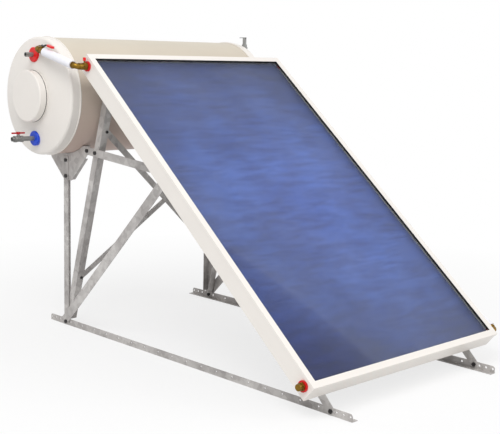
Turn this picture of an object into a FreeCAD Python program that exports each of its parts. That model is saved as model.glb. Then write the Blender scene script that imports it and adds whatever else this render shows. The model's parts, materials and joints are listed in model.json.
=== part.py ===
import FreeCAD, Part
import math
import os

# A close-coupled solar water heater: a flat glazed collector on a galvanised stand,
# with a horizontal storage tank behind its upper edge.
# Millimetres. X runs along the tank, -Y is the collector's low front edge, +Z is up.
# The origin is on the ground, midway between the four roof anchor holes.

V = FreeCAD.Vector

# Collector
collector_width = 1248.0
collector_length = 1910.0
collector_depth = 84.0
collector_tilt = 40.0
collector_low_height = 143.0
casing_wall = 2.0
casing_lip = 22.0
glazing_lip = 30.0
glazing_sheet = 2.0
glazing_skirt = 14.0
glass_thickness = 4.0
seal_thickness = 2.0
seal_bite = 12.0
ledge_width = 16.0
absorber_depth = 27.0
absorber_sheet = 1.0
absorber_margin = 14.0
header_radius = 11.0
header_wall = 1.2
header_edge = 41.0
header_overhang = 22.0
riser_radius = 5.0
riser_wall = 0.8
riser_count = 10
slab_thickness = 30.0
back_sheet = 1.0
grommet_radius = 23.5
grommet_thickness = 8.0
grommet_lip = 2.5

# Tank
tank_radius = 285.0
tank_length = 1290.0
tank_gap = 34.5
tank_overreach = 157.0
cap_sheet = 1.6
cap_skirt = 58.0
cap_dome = 25.0
cap_corner = 15.0
bead_width = 6.0
bead_height = 3.5
jacket_sheet = 1.2
jacket_inset = 16.0
foam_inset = 30.0
foam_thickness = 60.0
vessel_straight = 960.0
vessel_dish = 112.0
vessel_wall = 2.5
exchanger_gap = 24.0
exchanger_sheet = 1.5
exchanger_length = 940.0
access_radius = 98.0
cover_radius = 124.0
cover_height = 45.0
cover_sheet = 2.5
cover_corner = 6.0
flange_radius = 62.0
flange_thickness = 8.0
flange_bolt_circle = 46.0
flange_bolt_count = 6
flange_neck = 45.0
flange_neck_wall = 3.0
element_rod = 4.2
element_reach = 420.0
element_spread = 14.0
pocket_radius = 4.0
pocket_reach = 260.0
thermostat_size = (26.0, 60.0, 34.0)
anode_radius = 11.0
anode_reach = 520.0

# Tank connections, measured inward from the jacket
water_port_inset = 86.5
drain_port_inset = 80.5
loop_port_inset = 56.0
loop_port_lead = 64.0
nipple_radius = 11.5
nipple_bore = 8.5
hot_nipple_reach = 40.0
hot_thread = 22.0
thread_step = 0.2
escutcheon_radius = 36.0
escutcheon_thickness = 9.0
escutcheon_sink = 0.3

# Pipework
pipe_standoff = 45.0
union_reach = 66.0
union_land = 6.0
pipe_radius = 9.0
pipe_wall = 1.0
elbow_radius = 13.0
elbow_leg = 24.0
elbow_collar_radius = 15.2
socket_stop = 16.0
socket_slack = 0.5
lagging_radius = 20.0
lagging_gap = 1.0
valve_length = 46.0
valve_radius = 14.0
valve_hex = 30.0
valve_hex_width = 12.0
valve_socket = 9.0
bonnet_radius = 8.0
bonnet_height = 21.0
ball_radius = 11.0
ball_bore = 8.0
stem_radius = 4.0
stem_height = 30.0
tang_width = 3.0
tang_depth = 3.0
tang_length = 6.5
wing_length = 72.0
wing_width = 15.0
wing_thickness = 7.0
wing_hub_radius = 9.5
wing_hub_step = 2.0
wing_pinch_radius = 30.0
wing_pinch_depth = 3.5
handle_gap = 2.0
cold_valve_offset = 84.0
tail_length = 12.0
tail_thread = 11.0
lever_width = 14.0
lever_thickness = 3.0
lever_length = 54.0
lever_flat_end = 16.0
lever_lap = 2.0
lever_ramp_end = 32.0
lever_rise = 12.0
grip_length = 48.0
grip_overhang = 6.0
grip_width = 20.0
grip_thickness = 9.0
nut_across_flats = 32.0
plug_radius = 18.0
plug_length = 24.0
vent_lead = 17.0
vent_radius = 7.0
vent_rise = 24.5
vent_height = 16.0
vent_groove = 1.6
vent_plain_top = 4.0
vent_round = 2.0
vent_neck_radius = 3.5
vent_neck_height = 34.0
relief_radius = 14.0
relief_hex = 31.0
relief_height = 88.0
relief_standoff = 34.0
relief_spout_reach = 34.0
relief_spout_thread = 19.0
relief_spout_radius = 9.0
relief_lever_reach = 34.0
relief_barrel_height = 48.4
relief_hex_rise = 22.0
relief_hex_height = 12.0
relief_bonnet_radius = 10.5
relief_bore = 6.5
relief_spout_bore = 5.5
relief_slot = 6.4
relief_slot_depth = 9.0
relief_pin_radius = 1.5
relief_pin_drop = 4.5
relief_pin_length = 18.0
relief_eye_radius = 3.6
relief_lever_width = 5.0
relief_lever_sheet = 2.8
relief_pad_width = 14.0
relief_pad_length = 12.0

# Stand
frame_half_width = 490.0
sheet = 3.0
angle_leg = 38.0
strut_web = 50.0
strut_offset = 12.0
rail_height = 32.0
rail_flange = 32.0
rail_corner = 12.0
front_overhang = 81.0
rear_overhang = 143.0
rear_node_lead = 17.0
node_height = 18.0
leaning_top_run = 62.6
strut_node_run = 686.0
chord_bolt_angle = 37.5
chord_bolt_gap = 40.0
support_top_run = 60.0
support_foot_run = 12.0
saddle_leg_bolt_gap = 33.0
saddle_leg_bolt_pitch = 80.0
saddle_pad_width = 42.0
saddle_rear_angle = 24.0
saddle_front_angle = 34.0
saddle_return = 20.0
saddle_screw_inset = 8.0
saddle_screw_bite = 12.0
foot_bolt_lead = 27.0
foot_bracket_run = 70.0
end_margin = 19.0
rail_hole_radius = 5.0
rail_hole_pitch = 100.0
rail_end_pitch = 35.0
rail_end_holes = 3
anchor_hole_radius = 5.5
anchor_inset = 123.0
brace_width = 30.0
brace_bolt_inset = 28.0
brace_top_run = 1029.0
brace_low_run = 253.0
brace_margin = 12.0
cross_bar_leg = 30.0
cross_bar_edge = 10.0

# Fasteners and fits
bolt_radius = 5.0
bolt_hex = 17.0
bolt_head = 6.4
nut_height = 8.0
bolt_tail = 12.0
small_bolt_radius = 4.0
small_bolt_hex = 13.0
small_bolt_head = 5.3
small_nut_height = 6.5
hole_clearance = 0.5
fit_clearance = 0.05
lay_clearance = 0.2
seat_clearance = 0.3
cut_over = 1.0

# Derived places in the side view
slope = math.radians(collector_tilt)
tank_depth = collector_depth + tank_gap + tank_radius
tank_from_low = (collector_length + tank_overreach) * math.cos(slope) + tank_depth * math.sin(slope)
rail_length = front_overhang + tank_from_low - rear_node_lead + rear_overhang
low_y = front_overhang - rail_length / 2
top_y = low_y + collector_length * math.cos(slope)
top_z = collector_low_height + collector_length * math.sin(slope)
glass_top = glazing_sheet + seal_thickness
glass_under = glass_top + glass_thickness
header_depth = absorber_depth + absorber_sheet + lay_clearance + header_radius
casing_half = collector_width / 2 - glazing_sheet - lay_clearance
half_tank = tank_length / 2
vessel_radius = tank_radius - foam_thickness
water_port_rise = tank_radius - water_port_inset
drain_port_drop = tank_radius - drain_port_inset
loop_port_rise = tank_radius - loop_port_inset
face_x = half_tank + cap_dome


def on_slope(run, depth):
    """Side-view point a run below the collector's top edge and a depth under its front face."""
    y = top_y - run * math.cos(slope) + depth * math.sin(slope)
    z = top_z - run * math.sin(slope) - depth * math.cos(slope)
    return V(0, y, z)


tank_axis = on_slope(-tank_overreach, tank_depth)
rear_node = V(0, tank_axis.y - rear_node_lead, node_height)


def box(x0, x1, y0, y1, z0, z1):
    return Part.makeBox(x1 - x0, y1 - y0, z1 - z0, V(x0, y0, z0))


def rod(radius, start, end):
    run = end - start
    return Part.makeCylinder(radius, run.Length, start, run)


def tube(outer, inner, start, end):
    over = (end - start).normalize() * cut_over
    return rod(outer, start, end).cut(rod(inner, start - over, end + over))


def prism(points, thickness, direction):
    """A flat plate with the given outline, thickened along a direction."""
    wire = Part.makePolygon(points + [points[0]])
    return Part.Face(wire).extrude(direction * thickness)


def hexagon(across_flats, base, axis):
    """A hexagonal bar; the axis vector gives its direction and length."""
    unit = V(axis).normalize()
    side = unit.cross(V(0, 0, 1)) if abs(unit.z) < 0.9 else V(1, 0, 0)
    side.normalize()
    other = unit.cross(side)
    corner = across_flats / math.sqrt(3)
    points = []
    for index in range(6):
        angle = math.radians(60 * index)
        points.append(base + side * corner * math.cos(angle) + other * corner * math.sin(angle))
    return prism(points, V(axis).Length, unit)


def fuse(shapes):
    whole = shapes[0].fuse(shapes[1:]) if len(shapes) > 1 else shapes[0]
    return whole.removeSplitter()


def mirrored(shape):
    return shape.mirror(V(0, 0, 0), V(1, 0, 0))


def both_sides(shapes):
    return shapes + [mirrored(shape) for shape in shapes]


def save(name, shapes):
    """Write one node; a list becomes a group of separate solids."""
    group = shapes if isinstance(shapes, list) else [shapes]
    solids = [solid for shape in group for solid in shape.Solids]
    whole = solids[0] if len(solids) == 1 else Part.makeCompound(solids)
    whole.exportStep("parts/" + name + ".step")


# ---------------------------------------------------------------- collector

def to_slope(shape):
    """From the collector's flat frame (top edge at y 0, front face at z 0) to its place."""
    moved = shape.copy()
    moved.rotate(V(0, 0, 0), V(1, 0, 0), collector_tilt)
    moved.translate(V(0, top_y, top_z))
    return moved


def flat_box(half_width, top_run, low_run, upper_depth, lower_depth):
    return box(-half_width, half_width, -low_run, -top_run, -lower_depth, -upper_depth)


def flat_ring(inset_outer, inset_inner, upper_depth, lower_depth):
    """A rectangular ring that follows the collector's outline."""
    half = collector_width / 2
    outer = flat_box(half - inset_outer, inset_outer, collector_length - inset_outer, upper_depth, lower_depth)
    inner = flat_box(half - inset_inner, inset_inner, collector_length - inset_inner,
                     upper_depth - cut_over, lower_depth + cut_over)
    return outer.cut(inner)


def mitre_blocks():
    """Four blocks that split a ring into mitred sides: left, right, top and bottom."""
    half = collector_width / 2
    length = collector_length
    corners = [V(-half, 0, 0), V(half, 0, 0), V(half, -length, 0), V(-half, -length, 0)]
    meet_top = V(0, -half, 0)
    meet_low = V(0, half - length, 0)
    outlines = {
        "left": [corners[0], meet_top, meet_low, corners[3]],
        "right": [corners[1], corners[2], meet_low, meet_top],
        "top": [corners[0], corners[1], meet_top],
        "bottom": [corners[3], meet_low, corners[2]],
    }
    drop = V(0, 0, -collector_depth - cut_over)
    blocks = {}
    for side, outline in outlines.items():
        blocks[side] = prism(outline, collector_depth + 2 * cut_over, V(0, 0, 1))
        blocks[side].translate(drop)
    return blocks


def port_points():
    """Flat-frame centres of the four header ends at the casing's side walls."""
    runs = [header_edge, collector_length - header_edge]
    return [V(side * casing_half, -run, -header_depth) for side in (-1, 1) for run in runs]


def port_rods(radius):
    return [rod(radius, point - V(40, 0, 0), point + V(40, 0, 0)) for point in port_points()]


def casing_parts():
    skin = glazing_sheet + lay_clearance
    wall = flat_ring(skin, skin + casing_wall, glass_under + seal_thickness, collector_depth)
    ledge = flat_ring(skin, skin + casing_wall + ledge_width,
                      glass_under + seal_thickness, glass_under + seal_thickness + casing_wall)
    lip = flat_ring(skin, skin + casing_wall + casing_lip, collector_depth - casing_wall, collector_depth)
    ring = fuse([wall, ledge, lip])
    for cutter in port_rods(grommet_radius - grommet_lip - 4 + lay_clearance):
        ring = ring.cut(cutter)
    for cutter in support_screw_holes(small_bolt_radius + hole_clearance):
        ring = ring.cut(cutter)
    return {"casing_" + side: to_slope(ring.common(block)) for side, block in mitre_blocks().items()}


def glazing_frame():
    """The four capping strips over the glass edge."""
    lip = flat_ring(0, glazing_lip, 0, glazing_sheet)
    skirt = flat_ring(0, glazing_sheet, 0, glazing_skirt)
    ring = fuse([lip, skirt])
    return [to_slope(ring.common(block)) for block in mitre_blocks().values()]


def glass_pane():
    inset = glazing_lip - seal_bite
    half = collector_width / 2 - inset
    return to_slope(flat_box(half, inset, collector_length - inset, glass_top, glass_under))


def glass_seal():
    """A channel gasket round the pane, clamped between the ledge and the capping strips."""
    outer_inset = glazing_sheet + lay_clearance + casing_wall + 1
    channel = flat_ring(outer_inset, glazing_lip + 1, glazing_sheet, glass_under + seal_thickness)
    inset = glazing_lip - seal_bite
    half = collector_width / 2 - inset
    pane = flat_box(half, inset, collector_length - inset, glass_top, glass_under)
    return to_slope(channel.cut(pane))


def absorber_plate():
    inset = glazing_sheet + casing_wall + absorber_margin
    half = collector_width / 2 - inset
    return to_slope(flat_box(half, inset, collector_length - inset, absorber_depth,
                             absorber_depth + absorber_sheet))


def riser_places():
    reach = collector_width - 4 * header_edge
    return [-reach / 2 + reach * index / (riser_count - 1) for index in range(riser_count)]


riser_depth = absorber_depth + absorber_sheet + lay_clearance + riser_radius


def header_tubes():
    tubes = []
    end = collector_width / 2 + header_overhang
    for run in (header_edge, collector_length - header_edge):
        start = V(-end, -run, -header_depth)
        finish = V(end, -run, -header_depth)
        header = tube(header_radius, header_radius - header_wall, start, finish)
        toward = -1 if run == header_edge else 1
        for place in riser_places():
            inlet = V(place, -run, -riser_depth)
            header = header.cut(rod(riser_radius + fit_clearance, inlet, inlet + V(0, toward * 2 * header_radius, 0)))
        tubes.append(to_slope(header))
    return tubes


def riser_tubes():
    bite = header_radius - 2.5
    tubes = []
    for place in riser_places():
        start = V(place, -header_edge - bite, -riser_depth)
        finish = V(place, header_edge - collector_length + bite, -riser_depth)
        tubes.append(to_slope(tube(riser_radius, riser_radius - riser_wall, start, finish)))
    return tubes


def insulation_slab():
    inset = glazing_sheet + lay_clearance + casing_wall + 1
    low = collector_depth - casing_wall - back_sheet
    return to_slope(flat_box(collector_width / 2 - inset, inset, collector_length - inset,
                             low - slab_thickness, low))


def back_panel():
    inset = glazing_sheet + lay_clearance + casing_wall + 0.5
    low = collector_depth - casing_wall
    panel = flat_box(collector_width / 2 - inset, inset, collector_length - inset, low - back_sheet, low)
    return to_slope(panel)


def port_grommets():
    grommets = []
    neck = grommet_radius - grommet_lip - 4
    for point in port_points():
        out = V(math.copysign(1, point.x), 0, 0)
        disc = rod(grommet_radius, point + out * lay_clearance, point + out * grommet_thickness)
        throat = rod(neck, point - out * (casing_wall + 0.5), point + out)
        grommet = fuse([disc, throat])
        bore = rod(header_radius + fit_clearance, point - out * 40, point + out * 40)
        grommets.append(to_slope(grommet.cut(bore)))
    return grommets


def header_plugs():
    """Blanking caps on the two header ends that carry no pipe: low left and top right."""
    plugs = []
    for point in (port_points()[1], port_points()[2]):
        out = V(math.copysign(1, point.x), 0, 0)
        base = point + out * (grommet_thickness + 0.5)
        flange = hexagon(nut_across_flats, base, out * plug_length * 0.4)
        cap = rod(plug_radius * 0.78, base, base + out * plug_length)
        end = header_overhang + glazing_sheet + lay_clearance
        bore = rod(header_radius + fit_clearance, base - out, point + out * (end + 0.5))
        plugs.append(to_slope(fuse([flange, cap]).cut(bore)))
    return plugs


# ---------------------------------------------------------------- tank

def revolved(points, arcs=()):
    """Turn an outline given as (x, radius) about the X axis; arcs maps an edge to its mid point."""
    edges = []
    arc_map = dict(arcs)
    count = len(points)
    for index in range(count):
        a = V(points[index][0], points[index][1], 0)
        b = V(points[(index + 1) % count][0], points[(index + 1) % count][1], 0)
        if index in arc_map:
            mid = V(arc_map[index][0], arc_map[index][1], 0)
            edges.append(Part.Arc(a, mid, b).toShape())
        else:
            edges.append(Part.makeLine(a, b))
    return Part.Face(Part.Wire(edges)).revolve(V(0, 0, 0), V(1, 0, 0), 360)


def at_tank(shape):
    moved = shape.copy()
    moved.translate(tank_axis)
    return moved


def cap_form(radius, dome_x, corner, open_x):
    """A drum end: straight skirt, rounded corner and shallow dome, open at open_x."""
    rim_x = dome_x - cap_dome
    edge = radius - corner
    mid_r = edge / 2
    mid_x = dome_x - dome_drop(edge, cap_dome, mid_r)
    turn = corner * (1 - math.sqrt(0.5))
    points = [(open_x, 0), (open_x, radius), (rim_x - corner, radius), (rim_x, edge), (dome_x, 0)]
    arcs = {2: (rim_x - turn, radius - turn), 3: (mid_x, mid_r)}
    return revolved(points, arcs)


def cap_x_at(radius):
    """Height of the dome's outer face above the tank's centre plane at a radius."""
    return face_x - dome_drop(tank_radius - cap_corner, cap_dome, radius)


def end_cap():
    open_x = half_tank - cap_skirt
    outer = cap_form(tank_radius, face_x, cap_corner, open_x)
    inner = cap_form(tank_radius - cap_sheet, face_x - cap_sheet, cap_corner - cap_sheet, open_x - cut_over)
    bead_outer = tank_radius + bead_height
    bead = revolved([(open_x, tank_radius - 0.5), (open_x, bead_outer - 1), (open_x + bead_width / 2, bead_outer),
                     (open_x + bead_width, bead_outer - 1), (open_x + bead_width, tank_radius - 0.5)])
    return fuse([outer.cut(inner), bead])


def nipple_rods(side, radius):
    """Straight rods along every connection at one end of the tank, side -1 left or 1 right."""
    rods = []
    far = V(side * (half_tank + 3 * cap_skirt), 0, 0)
    for place in nipple_places(side):
        start = V(side * exchanger_length / 2, place[1], place[2])
        rods.append(rod(radius, start - V(side * cut_over, 0, 0), V(far.x, place[1], place[2])))
    return rods


def nipple_places(side):
    """(name, y, z) of the connections at one end, from the tank axis."""
    if side < 0:
        return [("hot", 0, water_port_rise), ("cold", 0, -drain_port_drop),
                ("flow", -loop_port_lead, loop_port_rise)]
    return [("relief", -loop_port_lead, loop_port_rise), ("return", -loop_port_lead, -loop_port_rise)]


def finished_cap(side):
    cap = end_cap()
    if side < 0:
        cap = mirrored(cap)
        cap = cap.cut(rod(access_radius, V(-half_tank, 0, 0), V(-face_x - cut_over, 0, 0)))
    for cutter in nipple_rods(side, nipple_radius + hole_clearance):
        cap = cap.cut(cutter)
    return at_tank(cap)


def tank_jacket():
    radius = tank_radius - cap_sheet - lay_clearance
    half = half_tank - jacket_inset
    jacket = tube(radius, radius - jacket_sheet, V(-half, 0, 0), V(half, 0, 0))
    for cutter in saddle_bolt_rods(small_bolt_radius + hole_clearance):
        jacket = jacket.cut(cutter)
    return at_tank(jacket)


def dome_drop(rim_radius, height, radius):
    """How far a spherical dome of that rim and height falls from its crown out to a radius."""
    sphere = (rim_radius ** 2 + height ** 2) / (2 * height)
    return sphere - math.sqrt(sphere ** 2 - radius ** 2)


def vessel_form(radius, dish, straight):
    """A cylinder with domed ends."""
    half = straight / 2
    mid_x = half + dish - dome_drop(radius, dish, radius / 2)
    points = [(-half - dish, 0), (-half, radius), (half, radius), (half + dish, 0)]
    return revolved(points, {0: (-mid_x, radius / 2), 2: (mid_x, radius / 2)})


flange_x = vessel_straight / 2 + vessel_dish + 6.0


def inner_vessel():
    outer = vessel_form(vessel_radius, vessel_dish, vessel_straight)
    inner = vessel_form(vessel_radius - vessel_wall, vessel_dish - vessel_wall, vessel_straight)
    neck_start = V(-vessel_straight / 2 - vessel_dish / 2, 0, 0)
    neck_end = V(-flange_x, 0, 0)
    shell = outer.fuse(rod(flange_neck, neck_start, neck_end)).cut(inner)
    shell = shell.cut(rod(flange_neck - flange_neck_wall, neck_start + V(60, 0, 0), neck_end - V(cut_over, 0, 0)))
    for place in nipple_places(-1)[:2]:
        port = V(0, place[1], place[2])
        reach = V(-vessel_straight, 0, 0)
        shell = shell.cut(rod(nipple_radius + fit_clearance, port, port + reach))
    return at_tank(shell.removeSplitter())


def exchanger_jacket():
    """The heating jacket: a thin drum round the vessel that the collector's fluid passes through."""
    radius = vessel_radius + exchanger_gap + exchanger_sheet
    half = exchanger_length / 2
    shell = tube(radius, radius - exchanger_sheet, V(-half, 0, 0), V(half, 0, 0))
    rings = []
    for side in (-1, 1):
        start = V(side * half, 0, 0)
        rings.append(tube(radius, vessel_radius + lay_clearance, start, start - V(side * exchanger_sheet, 0, 0)))
    drum = fuse([shell] + rings)
    for side in (-1, 1):
        for place in nipple_places(side):
            if abs(place[1]) > 0:
                port = V(side * (half - 2 * exchanger_sheet), place[1], place[2])
                drum = drum.cut(rod(nipple_radius + fit_clearance - 1.5, port, port + V(side * 20, 0, 0)))
    return at_tank(drum)


def foam_insulation():
    radius = tank_radius - cap_sheet - lay_clearance - jacket_sheet - lay_clearance
    half = half_tank - foam_inset
    foam = rod(radius, V(-half, 0, 0), V(half, 0, 0))
    void = vessel_form(vessel_radius + lay_clearance, vessel_dish + lay_clearance, vessel_straight)
    jacket_radius = vessel_radius + exchanger_gap + exchanger_sheet + lay_clearance
    jacket_half = exchanger_length / 2 + lay_clearance
    foam = foam.cut(void)
    foam = foam.cut(rod(jacket_radius, V(-jacket_half, 0, 0), V(jacket_half, 0, 0)))
    foam = foam.cut(rod(flange_radius + 6, V(-half - cut_over, 0, 0), V(-vessel_straight / 2 - vessel_dish / 2, 0, 0)))
    for side in (-1, 1):
        for cutter in nipple_rods(side, nipple_radius + lay_clearance):
            foam = foam.cut(cutter)
    for cutter in saddle_bolt_rods(small_bolt_radius + lay_clearance):
        foam = foam.cut(cutter)
    return at_tank(foam)


def dish_x(radius):
    """Distance of the vessel's domed end from its middle, at a radius."""
    return vessel_straight / 2 + vessel_dish - dome_drop(vessel_radius, vessel_dish, radius)


def turned_end(shape, radius, start, end):
    """Turn a pipe's free end down to its thread diameter."""
    past_end = end + (end - start).normalize() * cut_over
    return shape.cut(tube(radius + cut_over, radius - thread_step, start, past_end))


def tank_nipples():
    """Hot, cold, flow, relief and return stubs, each a straight tube along X."""
    ends = {"hot": face_x + hot_nipple_reach,
            "cold": face_x + cold_valve_offset - valve_length / 2 + valve_socket - socket_slack,
            "relief": half_tank + relief_standoff - socket_stop - socket_slack}
    stubs = []
    for side in (-1, 1):
        for name, y, z in nipple_places(side):
            if name in ("hot", "cold"):
                start_x = dish_x(abs(z)) - 12
            else:
                start_x = exchanger_length / 2 + fit_clearance
            end_x = ends.get(name, pipe_x - socket_stop - socket_slack)
            stub = tube(nipple_radius, nipple_bore, V(side * start_x, y, z), V(side * end_x, y, z))
            if name == "hot":
                stub = turned_end(stub, nipple_radius, V(side * (end_x - hot_thread), y, z), V(side * end_x, y, z))
            stubs.append(at_tank(stub))
    return stubs


def escutcheon(z):
    """A round cover plate where a connection leaves the left cap."""
    near = cap_x_at(abs(z) - escutcheon_radius) + escutcheon_sink
    back = cap_x_at(abs(z) + escutcheon_radius) - cap_corner
    outer_x = near + escutcheon_thickness
    disc = rod(escutcheon_radius, V(-back, 0, z), V(-outer_x, 0, z))
    rim_fillet = [edge for edge in disc.Edges if abs(edge.BoundBox.XMax + outer_x) < 0.01]
    disc = disc.makeFillet(escutcheon_thickness / 2, rim_fillet)
    form = mirrored(cap_form(tank_radius + lay_clearance, face_x + lay_clearance, cap_corner, half_tank / 2))
    disc = disc.cut(form)
    disc = disc.cut(rod(nipple_radius + fit_clearance, V(-back + cut_over, 0, z), V(-outer_x - cut_over, 0, z)))
    return at_tank(disc)


def element_cover():
    """The round service cover; its rim follows the cap's dome."""
    outer_x = cap_x_at(cover_radius) + cover_height
    base_x = half_tank - 10
    cup = rod(cover_radius, V(-base_x, 0, 0), V(-outer_x, 0, 0))
    rim = [edge for edge in cup.Edges if abs(edge.BoundBox.XMax + outer_x) < 0.01]
    cup = cup.makeFillet(cover_corner, rim)
    hollow = rod(cover_radius - cover_sheet, V(-base_x + cut_over, 0, 0), V(-outer_x + cover_sheet, 0, 0))
    form = mirrored(cap_form(tank_radius + lay_clearance, face_x + lay_clearance, cap_corner, half_tank / 2))
    return at_tank(cup.cut(hollow).cut(form))


def flange_bolt_places(radius_x):
    places = []
    for index in range(flange_bolt_count):
        angle = math.radians(360 * index / flange_bolt_count + 30)
        places.append(V(radius_x, flange_bolt_circle * math.cos(angle), flange_bolt_circle * math.sin(angle)))
    return places


def element_flange():
    start = V(-flange_x - fit_clearance, 0, 0)
    end = start - V(flange_thickness, 0, 0)
    plate = rod(flange_radius - 4, start, end)
    for spread in (-element_spread, element_spread):
        point = V(0, spread, 0)
        plate = plate.cut(rod(element_rod + fit_clearance, start + point + V(5, 0, 0), end + point - V(5, 0, 0)))
    for place, radius in ((V(0, 0, 26), pocket_radius), (V(0, 0, -26), anode_radius / 2)):
        plate = plate.cut(rod(radius + fit_clearance, start + place + V(5, 0, 0), end + place - V(5, 0, 0)))
    return at_tank(plate)


def heating_element():
    """A hairpin rod from the flange into the vessel."""
    outer_x = -flange_x - flange_thickness - 14
    inner_x = -flange_x + element_reach
    legs = []
    for spread in (-element_spread, element_spread):
        legs.append(rod(element_rod, V(outer_x, spread, 0), V(inner_x, spread, 0)))
    bend = Part.makeTorus(element_spread, element_rod)
    half_space = box(0, 2 * element_spread, -2 * element_spread, 2 * element_spread, -10, 10)
    bend = bend.common(half_space)
    bend.translate(V(inner_x, 0, 0))
    return at_tank(fuse(legs + [bend]))


def thermostat():
    depth, width, height = thermostat_size
    outer_x = -flange_x - flange_thickness - 16
    housing = box(outer_x - depth, outer_x, -width / 2, width / 2, 12, 12 + height)
    feeler = rod(pocket_radius - 0.5, V(outer_x - 1, 0, 26), V(-flange_x + pocket_reach - 10, 0, 26))
    return at_tank(fuse([housing, feeler]))


def thermostat_pocket():
    start = V(-flange_x - flange_thickness - 10, 0, 26)
    end = V(-flange_x + pocket_reach, 0, 26)
    pocket = rod(pocket_radius, start, end)
    return at_tank(pocket.cut(rod(pocket_radius - 0.45, start - V(cut_over, 0, 0), end - V(4, 0, 0))))


def anode():
    start = V(-flange_x - flange_thickness - 6, 0, -26)
    stud = rod(anode_radius / 2, start, V(-flange_x + 40, 0, -26))
    core = rod(anode_radius, V(-flange_x + 40, 0, -26), V(-flange_x + anode_reach, 0, -26))
    return at_tank(fuse([stud, core]))


# ---------------------------------------------------------------- pipework

pipe_x = max(collector_width / 2 + union_reach, half_tank + pipe_standoff)
collector_port_top = on_slope(header_edge, header_depth)
collector_port_low = on_slope(collector_length - header_edge, header_depth)


def loop_corner(side, rise):
    return V(side * pipe_x, tank_axis.y - loop_port_lead, tank_axis.z + rise)


flow_start = loop_corner(-1, loop_port_rise)
flow_end = V(-pipe_x, collector_port_top.y, collector_port_top.z)
return_start = loop_corner(1, -loop_port_rise)
return_end = V(pipe_x, collector_port_low.y, collector_port_low.z)
relief_corner = V(half_tank + relief_standoff, flow_start.y, flow_start.z)


def unit(a, b):
    return (b - a).normalize()


def quarter_bend(radius, corner, first, second):
    """A solid quarter torus that joins the starts of two sockets."""
    start = corner + first * socket_stop
    disc = Part.Face(Part.Wire([Part.makeCircle(radius, start, first)]))
    return disc.revolve(start + second * socket_stop, second.cross(first), 90)


def elbow(corner, first, second, first_bore=None):
    """A brass 90-degree fitting; first and second point along its two legs."""
    socket = pipe_radius + fit_clearance
    legs = [(first, first_bore or socket), (second, socket)]
    collars = [rod(elbow_collar_radius, corner + way * socket_stop, corner + way * elbow_leg) for way, _ in legs]
    solid = fuse([quarter_bend(elbow_radius, corner, first, second)] + collars)
    solid = solid.cut(quarter_bend(pipe_radius - pipe_wall, corner, first, second))
    for way, radius in legs:
        solid = solid.cut(rod(radius, corner + way * socket_stop, corner + way * (elbow_leg + cut_over)))
    return solid


def tank_elbow(corner, second):
    inward = V(-math.copysign(1, corner.x), 0, 0)
    return elbow(corner, inward, second, nipple_radius + fit_clearance)


def union_nut(corner, side):
    """The compression nut between an elbow and the collector's header end."""
    inward = V(-side, 0, 0)
    header_end = collector_width / 2 + header_overhang
    start = V(side * (collector_width / 2 + grommet_thickness), corner.y, corner.z)
    finish = V(side * (header_end + union_land), corner.y, corner.z)
    barrel = hexagon(nut_across_flats, start, finish - start)
    collar = rod(elbow_collar_radius, finish, V(side * (abs(corner.x) - elbow_leg), corner.y, corner.z))
    body = fuse([barrel, collar])
    header_stop = V(side * (header_end + socket_slack), corner.y, corner.z)
    body = body.cut(rod(header_radius + fit_clearance, start + inward, header_stop))
    return body.cut(rod(pipe_radius + fit_clearance, V(side * header_end, corner.y, corner.z), corner))


def spigot(corner, side):
    """The short tube inside the union, from the elbow's socket to the header's end."""
    start = V(side * (abs(corner.x) - socket_stop - socket_slack), corner.y, corner.z)
    header_end = collector_width / 2 + header_overhang + 2 * socket_slack
    return tube(pipe_radius, pipe_radius - pipe_wall, start, V(side * header_end, corner.y, corner.z))


def pipe_run(start, end, first_gap):
    way = unit(start, end)
    far_end = end - way * (socket_stop + socket_slack)
    return tube(pipe_radius, pipe_radius - pipe_wall, start + way * first_gap, far_end)


def lagging(start, end, first_gap):
    way = unit(start, end)
    return tube(lagging_radius, pipe_radius + lay_clearance, start + way * first_gap,
                end - way * (elbow_leg + lagging_gap))


def oriented(shape, origin, along, up):
    """Place a shape made along +X with its stem up +Z."""
    across = up.cross(along)
    matrix = FreeCAD.Matrix(along.x, across.x, up.x, origin.x, along.y, across.y, up.y, origin.y,
                            along.z, across.z, up.z, origin.z, 0, 0, 0, 1)
    moved = shape.copy()
    moved.Placement = FreeCAD.Placement(matrix)
    return moved


def valve_body(socket_radius):
    """A ball valve's brass body along X with its bonnet up."""
    half = valve_length / 2
    barrel = rod(valve_radius, V(-half, 0, 0), V(half, 0, 0))
    shapes = [barrel, rod(bonnet_radius, V(0, 0, 0), V(0, 0, bonnet_height))]
    for side in (-1, 1):
        shapes.append(hexagon(valve_hex, V(side * half, 0, 0), V(-side * valve_hex_width, 0, 0)))
    body = fuse(shapes)
    body = body.cut(Part.makeSphere(ball_radius + fit_clearance))
    body = body.cut(rod(ball_bore, V(-half - cut_over, 0, 0), V(half + cut_over, 0, 0)))
    body = body.cut(rod(stem_radius + fit_clearance, V(0, 0, 0), V(0, 0, bonnet_height + cut_over)))
    for side in (-1, 1):
        socket = rod(socket_radius, V(side * (half - valve_socket), 0, 0), V(side * (half + cut_over), 0, 0))
        body = body.cut(socket)
    return body


def stem_tang(grow):
    top = ball_radius - 0.5
    return box(-tang_length / 2 - grow, tang_length / 2 + grow, -tang_width / 2 - grow, tang_width / 2 + grow,
               top - tang_depth + 1 - grow, top + 3)


def valve_ball():
    ball = Part.makeSphere(ball_radius)
    ball = ball.cut(rod(ball_bore - 0.5, V(-2 * ball_radius, 0, 0), V(2 * ball_radius, 0, 0)))
    return ball.cut(stem_tang(0))


def valve_stem():
    top = ball_radius + fit_clearance
    shaft = rod(stem_radius, V(0, 0, top), V(0, 0, stem_height))
    tang = stem_tang(0).common(box(-20, 20, -20, 20, 0, top))
    return fuse([shaft, tang])


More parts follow.
